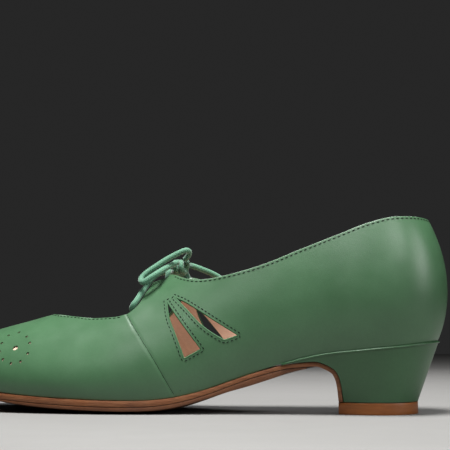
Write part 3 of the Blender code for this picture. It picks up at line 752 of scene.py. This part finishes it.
soleShape = {
    "margin": 1.0, "columns": 16, "steps": 5, "bevel": 0.35,
    "stations": (15.86, 15.5, 15.0, 14.5, 14.0, 13.4, 12.7, 12.0, 11.3, 10.6, 10.0, 9.4, 8.7, 8.0, 7.3, 6.6, 6.0, 5.5),
    "thickness": ((0.0, 1.8), (80.0, 1.8), (110.0, 2.2), (140.0, 2.6), (210.0, 2.5), (255.0, 2.3)),
    "tail": ((73.0, 21.7, 23.0, -0.08), (67.6, 22.4, 22.6, -0.06), (62.4, 22.9, 22.2, 0.0), (57.6, 23.0, 21.6, 0.09),
             (54.6, 22.1, 21.0, 0.24), (51.8, 20.7, 20.3, 0.36), (49.8, 19.2, 19.7, 0.54), (48.6, 17.1, 19.0, 0.73),
             (47.9, 15.0, 18.5, 0.84), (47.35, 11.8, 17.8, 0.92), (47.1, 8.9, 17.3, 0.95),
             (46.8, 5.6, 16.8, 0.96))}  # x, z, half width, quarter turns down the breast
treadShape = {"thickness": ((60.0, 0.4), (66.0, 1.0), (72.0, 1.8), (78.0, 2.6), (86.0, 2.9), (96.0, 2.2), (105.0, 1.6),
                            (150.0, 1.5), (180.0, 1.3), (195.0, 0.9), (210.0, 0.6), (255.0, 0.5)),
              "crown": 3.4, "crownFrom": (90.0, 40.0), "crownTo": (250.0, 50.0), "bevel": 0.3}


def across(outer, inner, side):
    share = (1 - side) / 2
    return [a + (b - a) * share for a, b in zip(outer, inner)]


def slab(count, columns, lower, upper, cuts=0):  # closed leather layer between two laid faces
    shape = bmesh.new()
    bmesh.ops.create_grid(shape, x_segments=count - 1, y_segments=columns, size=0.5)
    base = {vert: (round((vert.co.x + 0.5) * (count - 1)), vert.co.y * 2) for vert in shape.verts}
    pulled = bmesh.ops.extrude_face_region(shape, geom=list(shape.faces))
    raised = [item for item in pulled["geom"] if isinstance(item, bmesh.types.BMVert)]
    for vert in raised:
        vert.co = place(upper(round((vert.co.x + 0.5) * (count - 1)), vert.co.y * 2))
    for vert, (row, side) in base.items():
        vert.co = place(lower(row, side))
    bmesh.ops.recalc_face_normals(shape, faces=shape.faces)
    if cuts:
        walls = {edge for vert in raised for edge in vert.link_edges if edge.other_vert(vert) in base}
        bmesh.ops.subdivide_edges(shape, edges=list(walls), cuts=cuts)
    return shape


def softenRims(shape, size, degrees):
    rims = [edge for edge in shape.edges if edge.is_manifold and edge.calc_face_angle() > math.radians(degrees)]
    bmesh.ops.bevel(shape, geom=rims, offset=size * mm, offset_type="OFFSET", segments=2, profile=0.5, affect="EDGES",
                    material=-1, clamp_overlap=True)


def soleRows():
    rows = []
    for station in soleShape["stations"]:
        outer = feather(station, soleShape["margin"])
        inner = feather(2 * last["toeRow"] - station, soleShape["margin"])
        rows.append([*outer[:2], outer[2] - last["seamGap"], *inner[:2], inner[2] - last["seamGap"], 0.0])
    for x, z, half, turn in soleShape["tail"]:
        rows.append([x, half + 1.5, z, x, -half, z, turn * math.pi / 2])
    return smoothRun(rows, soleShape["steps"])


def squareOff(point, turn, depth):
    x, y, z = point
    return [x + math.sin(turn) * depth, y, z - math.cos(turn) * depth]


def makeSole():
    rows = soleRows()

    def top(row, side):
        return across(rows[row][:3], rows[row][3:6], side)

    def bottom(row, side):
        point = top(row, side)
        return squareOff(point, rows[row][6], easedAt(soleShape["thickness"], point[0]))

    shape = slab(len(rows), soleShape["columns"], bottom, top)
    softenRims(shape, soleShape["bevel"], 50)
    sole = addPiece("soleLayer", meshFrom(shape, "soleLayer"), (soleTan,), "sole_leather", "sole")
    smoothShade(sole, 40)


def makeTread():
    rows = [row for row in soleRows() if row[6] <= 0.01]

    def top(row, side):
        point = across(rows[row][:3], rows[row][3:6], side)
        return squareOff(point, rows[row][6], easedAt(soleShape["thickness"], point[0]) + last["seamGap"])

    def bottom(row, side):
        x, y, z = top(row, side)
        (start, rise), (end, fall) = treadShape["crownFrom"], treadShape["crownTo"]
        fade = min(1.0, max(0.0, (x - start) / rise), max(0.0, (end - x) / fall))
        crown = treadShape["crown"] * (1 - side * side) * fade
        return x, y, max(0.0, z - easedAt(treadShape["thickness"], x) - crown)

    shape = slab(len(rows), soleShape["columns"], bottom, top)
    softenRims(shape, treadShape["bevel"], 50)
    tread = addPiece("treadLayer", meshFrom(shape, "treadLayer"), (treadBrown,), "tread_leather", "half_sole")
    smoothShade(tread, 40)


insoleShape = {"inset": 3.0, "lift": 0.05, "thickness": 2.0, "bevel": 0.5, "columns": 12,
               "toeStations": [15.8, 15.3, 14.7], "heelStations": [0.75, 0.4, 0.2]}


def makeInsole():
    middle = [14.0 - 0.25 * k for k in range(53)]
    stations = insoleShape["toeStations"] + middle + insoleShape["heelStations"]

    def sheet(lift):
        def point(row, side):
            outer = feather(stations[row], -insoleShape["inset"])
            inner = feather(2 * last["toeRow"] - stations[row], -insoleShape["inset"])
            x, y, z = across(outer, inner, side)
            return x, y, z + lift
        return point

    shape = slab(len(stations), insoleShape["columns"], sheet(insoleShape["lift"]),
                 sheet(insoleShape["lift"] + insoleShape["thickness"]))
    softenRims(shape, insoleShape["bevel"], 60)
    insole = addPiece("insoleSock", meshFrom(shape, "insoleSock"), (sockTan,), "insole_leather", "insole")
    smoothShade(insole, 40)


tipShape = {"height": 5.2, "bevel": 0.3, "columns": 12, "steps": 6,
            "outline": ((48.8, 16.6), (44.0, 18.0), (37.0, 19.0), (30.0, 18.9), (24.0, 16.6), (19.0, 12.4), (15.6, 7.0),
                        (14.1, 2.4))}
heelShape = {"seatOut": 0.4, "frontReach": 14.0, "spread": 0.92, "columns": 10, "cuts": 8, "lipRadius": 0.5,
             "breastCut": (90.0, 60.0, -4.0)}  # the cutter's front, half width and lower edge


def makeTip():
    rows = smoothRun(tipShape["outline"], tipShape["steps"])

    def sheet(height):
        def point(row, side):
            return rows[row][0], side * rows[row][1], height
        return point

    shape = slab(len(rows), tipShape["columns"], sheet(0.0), sheet(tipShape["height"]), 3)
    softenRims(shape, tipShape["bevel"], 50)
    tip = addPiece("heelTip", meshFrom(shape, "heelTip"), (tipTan,), "top_piece_leather", "top_piece")
    smoothShade(tip, 40)


def makeHeel():
    stations = [5.0 - 0.1 * k for k in range(50)]
    outline = list(reversed(smoothRun(tipShape["outline"], tipShape["steps"])))
    front, back = outline[-1][0] + heelShape["frontReach"], outline[0][0]
    seatFront, seatBack = lastAt(stations[0])[0], lastAt(stations[-1])[0]

    def seat(row, side):
        outer = feather(stations[row], heelShape["seatOut"])
        inner = feather(2 * last["toeRow"] - stations[row], heelShape["seatOut"])
        x, y, z = across(outer, inner, side)
        return x, y, z - last["seamGap"]

    def foot(row, side):
        share = (lastAt(stations[row])[0] - seatBack) / (seatFront - seatBack)
        x = back + (front - back) * share ** heelShape["spread"]
        return x, side * easedAt(outline, x), tipShape["height"] + last["seamGap"]

    shape = slab(len(stations), heelShape["columns"], foot, seat, heelShape["cuts"])
    heel = addPiece("heelCover", meshFrom(shape, "heelCover"), (heelGreen,), "heel_leather", "heel")
    breast = []
    for x, z, _, turn in smoothRun(soleShape["tail"], soleShape["steps"]):
        lean = turn * math.pi / 2
        breast.append((x - math.sin(lean) * last["seamGap"], z + math.cos(lean) * last["seamGap"]))
    cutFront, cutHalf, cutLow = heelShape["breastCut"]
    profile = [(cutFront, breast[0][1])] + breast + [(breast[-1][0] - 0.1, cutLow), (cutFront, cutLow)]
    block = bmesh.new()
    ring = [block.verts.new(place((x, -cutHalf, z))) for x, z in profile]
    pulled = bmesh.ops.extrude_face_region(block, geom=[block.faces.new(ring)])
    moved = [item for item in pulled["geom"] if isinstance(item, bmesh.types.BMVert)]
    bmesh.ops.translate(block, verts=moved, vec=(0, -2 * cutHalf * mm, 0))
    bmesh.ops.recalc_face_normals(block, faces=block.faces)
    carve(heel, cutterFrom(block, "breast"))
    smoothShade(heel, 40)
    lip = []
    for k in range(71):  # covered lip from the waist round the back of the seat
        x, y, z = feather((4.9 - 0.14 * k) % len(lastRows), heelShape["seatOut"])
        lip.append(place((x, y, z - last["seamGap"] / 2 - heelShape["lipRadius"] * 0.5)))
    lipMesh = tubeMesh("heelLip", [lip], heelShape["lipRadius"] * 2, 3, False)
    lipMesh.shade_smooth()
    addPiece("heelLip", lipMesh, (heelGreen,), "heel_leather")


makeInsole()
makeSole()
makeTread()
makeTip()
makeHeel()
print("sole, insole and heel done")

studio = {"floor": (114, 113, 111), "fill": 0.02}
softboxes = (("overhead", (0.02, -0.15, 0.79), (0.02, 0.0, 0.03), (0.32, 0.32), 16.6),
             ("window", (0.4, -0.42, 0.44), (0.09, 0.0, 0.06), (0.32, 0.18), 1.1),
             ("backlight", (0.65, -0.12, 0.28), (0.09, 0.0, 0.06), (0.3, 0.34), 1.1),
             ("reflector", (-0.02, -0.52, 0.42), (0.03, 0.0, 0.05), (0.3, 0.13), 0.55),
             ("farPanel", (-0.05, 0.62, 0.42), (0.0, 0.0, 0.04), (0.5, 0.3), 1.3))  # place, aim, sides, watts


def makeStudio():
    shape = bmesh.new()
    bmesh.ops.create_grid(shape, x_segments=24, y_segments=24, size=2.5)
    floor = bpy.data.objects.new("floor", meshFrom(shape, "floor"))
    scene.collection.objects.link(floor)
    look = grainLook("floorPaper", {
        "deep": studio["floor"], "pale": [value + 6 for value in studio["floor"]], "fleckTint": studio["floor"],
        "fleckShare": 0.2, "cloud": 3.0, "fleck": 60.0, "grain": 900.0, "grainDepth": 0.01, "waveDepth": 0.0,
        "roughness": (0.75, 0.9)})
    floor.data.materials.append(look)
    for name, spot, aim, size, power in softboxes:
        lamp = bpy.data.objects.new(name, bpy.data.lights.new(name, "AREA"))
        lamp.data.shape = "ELLIPSE"
        lamp.data.size, lamp.data.size_y = size
        lamp.data.energy = power
        lamp.location = spot
        lamp.rotation_euler = (Vector(aim) - Vector(spot)).to_track_quat("-Z", "Y").to_euler()
        scene.collection.objects.link(lamp)
    scene.world = scene.world or bpy.data.worlds.new("studio")
    scene.world.use_nodes = True
    air = scene.world.node_tree.nodes["Background"]
    air.inputs["Color"].default_value = (1.0, 1.0, 1.0, 1.0)
    air.inputs["Strength"].default_value = studio["fill"]


makeStudio()
print("scene ready")
